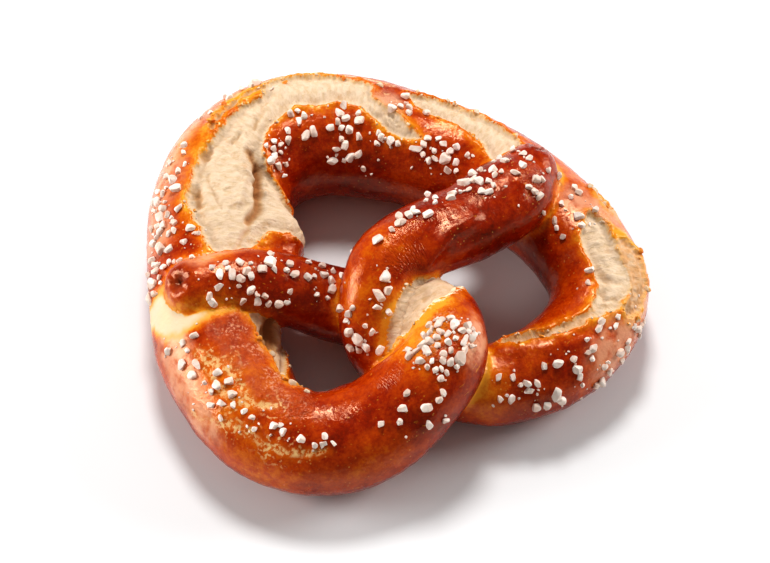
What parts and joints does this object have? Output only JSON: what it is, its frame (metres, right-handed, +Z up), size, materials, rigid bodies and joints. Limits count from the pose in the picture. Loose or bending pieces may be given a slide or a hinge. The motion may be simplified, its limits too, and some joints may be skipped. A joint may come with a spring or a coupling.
{
  "type": "soft pretzel",
  "caption": "Baked soft pretzel: one twisted rope of dough with a thick split belly, two front lobes and crossed arms, salted on top and resting on a flat foot.",
  "frame": {"origin": "on the table under the middle of the pretzel's outline", "axes": "+Z up, +Y towards the thick belly, -Y towards the two front lobes, +X towards the right lobe"},
  "size_m": [0.1441, 0.143, 0.0434],
  "materials": {
    "crust": "glossy browned crust with pale torn crumb",
    "salt": "coarse off-white grains"
  },
  "bodies": {
    "root": {"pretzel": "crust"}
  },
  "joints": []
}
